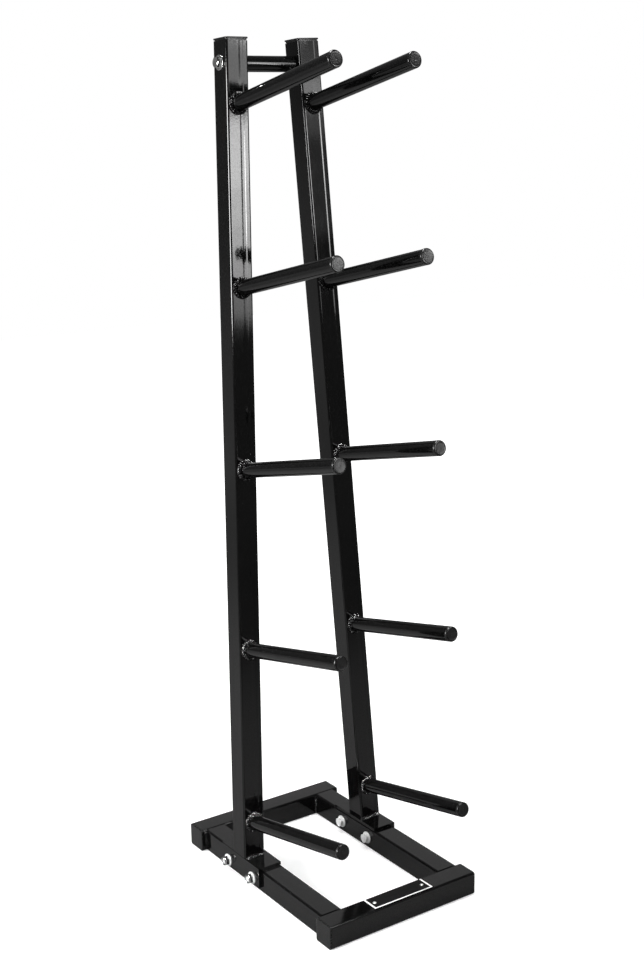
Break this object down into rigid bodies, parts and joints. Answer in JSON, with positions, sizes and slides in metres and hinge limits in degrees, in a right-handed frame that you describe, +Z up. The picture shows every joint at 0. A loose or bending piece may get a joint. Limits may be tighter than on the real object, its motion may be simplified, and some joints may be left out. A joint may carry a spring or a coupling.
{
  "type": "medicine ball rack",
  "caption": "Free-standing black steel rack: a low box-tube floor frame and two uprights leaning back and together, with pairs of upward-tilted pegs that hold medicine balls.",
  "frame": {"origin": "centre of the whole rack's footprint, on the floor", "axes": "+Z up, +X to the right as seen from the front, +Y to the back; the pegs point to -Y"},
  "size_m": [0.3962, 0.5603, 1.7613],
  "materials": {
    "gloss_black_paint": "gloss black paint over steel tube and plate",
    "black_plastic": "satin moulded black plastic",
    "zinc_plate": "bright zinc plate"
  },
  "bodies": {
    "root": {"crossbar": "gloss_black_paint", "front_cross_member": "gloss_black_paint", "front_left_end_plug": "black_plastic", "front_right_end_plug": "black_plastic", "left_bracket": "gloss_black_paint", "left_crossbar_bolt": "zinc_plate", "left_crossbar_insert": "zinc_plate", "left_crossbar_washer": "zinc_plate", "left_front_bolt": "zinc_plate", "left_front_inner_washer": "zinc_plate", "left_front_nut": "zinc_plate", "left_front_outer_washer": "zinc_plate", "left_peg_1": "gloss_black_paint", "left_peg_1_plug": "black_plastic", "left_peg_2": "gloss_black_paint", "left_peg_2_plug": "black_plastic", "left_peg_3": "gloss_black_paint", "left_peg_3_plug": "black_plastic", "left_peg_4": "gloss_black_paint", "left_peg_4_plug": "black_plastic", "left_peg_5": "gloss_black_paint", "left_peg_5_plug": "black_plastic", "left_rear_bolt": "zinc_plate", "left_rear_inner_washer": "zinc_plate", "left_rear_nut": "zinc_plate", "left_rear_outer_washer": "zinc_plate", "left_side_rail": "gloss_black_paint", "left_upright": "gloss_black_paint", "left_upright_plug": "black_plastic", "rear_cross_member": "gloss_black_paint", "rear_left_end_plug": "black_plastic", "rear_right_end_plug": "black_plastic", "right_bracket": "gloss_black_paint", "right_crossbar_bolt": "zinc_plate", "right_crossbar_insert": "zinc_plate", "right_crossbar_washer": "zinc_plate", "right_front_bolt": "zinc_plate", "right_front_inner_washer": "zinc_plate", "right_front_nut": "zinc_plate", "right_front_outer_washer": "zinc_plate", "right_peg_1": "gloss_black_paint", "right_peg_1_plug": "black_plastic", "right_peg_2": "gloss_black_paint", "right_peg_2_plug": "black_plastic", "right_peg_3": "gloss_black_paint", "right_peg_3_plug": "black_plastic", "right_peg_4": "gloss_black_paint", "right_peg_4_plug": "black_plastic", "right_peg_5": "gloss_black_paint", "right_peg_5_plug": "black_plastic", "right_rear_bolt": "zinc_plate", "right_rear_inner_washer": "zinc_plate", "right_rear_nut": "zinc_plate", "right_rear_outer_washer": "zinc_plate", "right_side_rail": "gloss_black_paint", "right_upright": "gloss_black_paint", "right_upright_plug": "black_plastic"}
  },
  "joints": []
}
